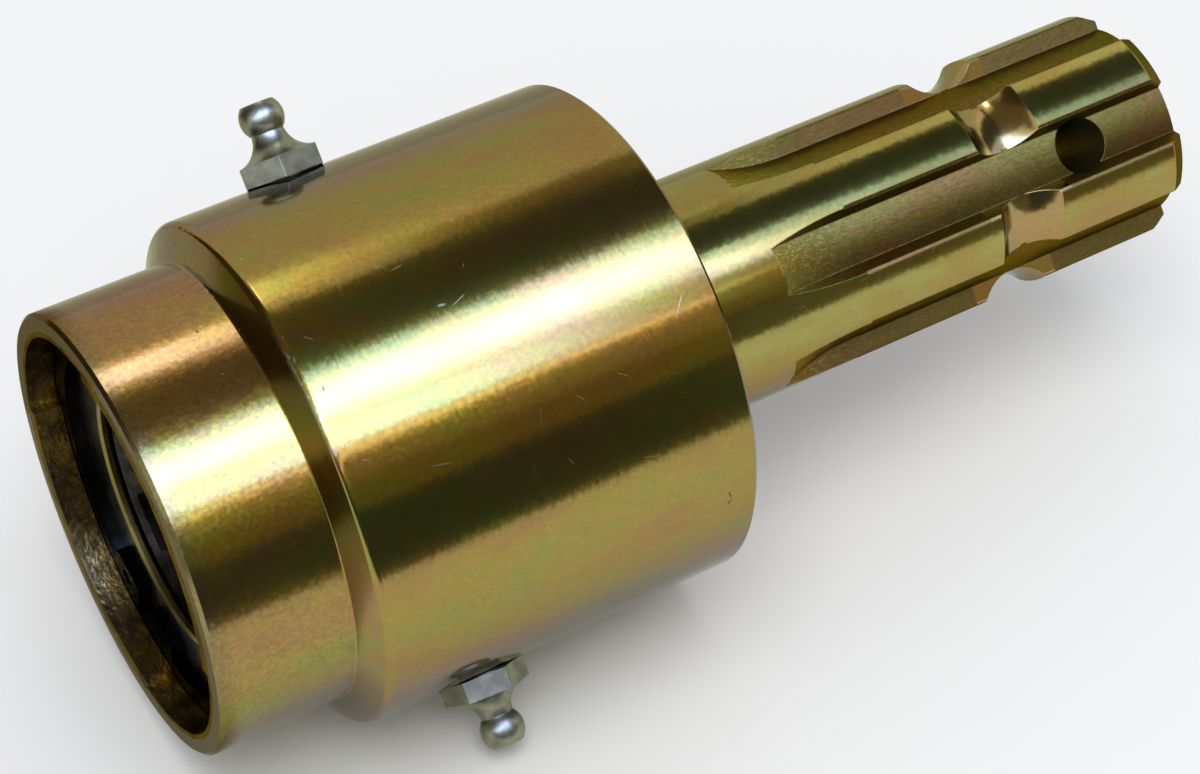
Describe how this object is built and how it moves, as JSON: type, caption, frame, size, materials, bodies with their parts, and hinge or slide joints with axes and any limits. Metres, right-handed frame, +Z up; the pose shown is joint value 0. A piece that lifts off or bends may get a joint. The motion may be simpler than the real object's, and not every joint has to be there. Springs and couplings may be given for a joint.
{
  "type": "overrunning clutch",
  "caption": "Overrunning clutch: a hollow round casing with a splined socket hub and sprung keys inside, two grease nipples and a splined output shaft.",
  "frame": {"origin": "centre of the casing's mouth rim, on the axis", "axes": "+X along the axis from the mouth to the tip of the splined shaft; +Z up, with the keys' line rolled 41.4 degrees and the grease nipples' line 45.2 degrees from +Y towards +Z"},
  "size_m": [0.1655, 0.0726, 0.0726],
  "materials": {
    "yellow_zinc": "turned steel with a glossy yellow zinc chromate plating, slightly iridescent",
    "dark_steel": "hardened steel, machined, dark with grease",
    "black_oxide": "spring steel, black phosphate, oily",
    "spring_steel": "bright hardened steel, oiled",
    "zinc_steel": "turned steel, clear zinc plated, satin grey"
  },
  "bodies": {
    "inner_hub": {"hub": "dark_steel", "key_spring_1a": "spring_steel", "key_spring_1b": "spring_steel", "key_spring_1c": "spring_steel", "key_spring_2a": "spring_steel", "key_spring_2b": "spring_steel", "key_spring_2c": "spring_steel"},
    "outer_casing": {"casing": "yellow_zinc", "output_shaft": "yellow_zinc", "retaining_ring": "black_oxide", "front_thrust_washer": "dark_steel", "rear_thrust_washer": "dark_steel", "grease_nipple_1": "zinc_steel", "grease_nipple_2": "zinc_steel", "check_spring_1": "spring_steel", "check_spring_2": "spring_steel"},
    "drive_key_1": {"key_1": "spring_steel"},
    "drive_key_2": {"key_2": "spring_steel"},
    "valve_ball_1": {"check_ball_1": "spring_steel"},
    "valve_ball_2": {"check_ball_2": "spring_steel"}
  },
  "joints": [
    {"name": "casing_spin", "type": "hinge", "parent": "inner_hub", "child": "outer_casing", "pos_m": [0, 0, 0], "axis": [1, 0, 0], "continuous": true},
    {"name": "key_1_lift", "type": "slide", "parent": "inner_hub", "child": "drive_key_1", "axis": [0, 0.7501, 0.6613], "range_m": [0, 0.0012], "stiffness_N_per_m": 22000, "springref_m": 0.0028, "deforming": ["key_spring_1a", "key_spring_1b", "key_spring_1c"]},
    {"name": "key_2_lift", "type": "slide", "parent": "inner_hub", "child": "drive_key_2", "axis": [0, -0.7501, -0.6613], "range_m": [0, 0.0012], "stiffness_N_per_m": 22000, "springref_m": 0.0028, "deforming": ["key_spring_2a", "key_spring_2b", "key_spring_2c"]},
    {"name": "valve_1_open", "type": "slide", "parent": "outer_casing", "child": "valve_ball_1", "axis": [0, -0.7046, -0.7096], "range_m": [0, 0.0008], "stiffness_N_per_m": 1000, "springref_m": -0.001, "deforming": ["check_spring_1"]},
    {"name": "valve_2_open", "type": "slide", "parent": "outer_casing", "child": "valve_ball_2", "axis": [0, 0.7046, 0.7096], "range_m": [0, 0.0008], "stiffness_N_per_m": 1000, "springref_m": -0.001, "deforming": ["check_spring_2"]}
  ]
}
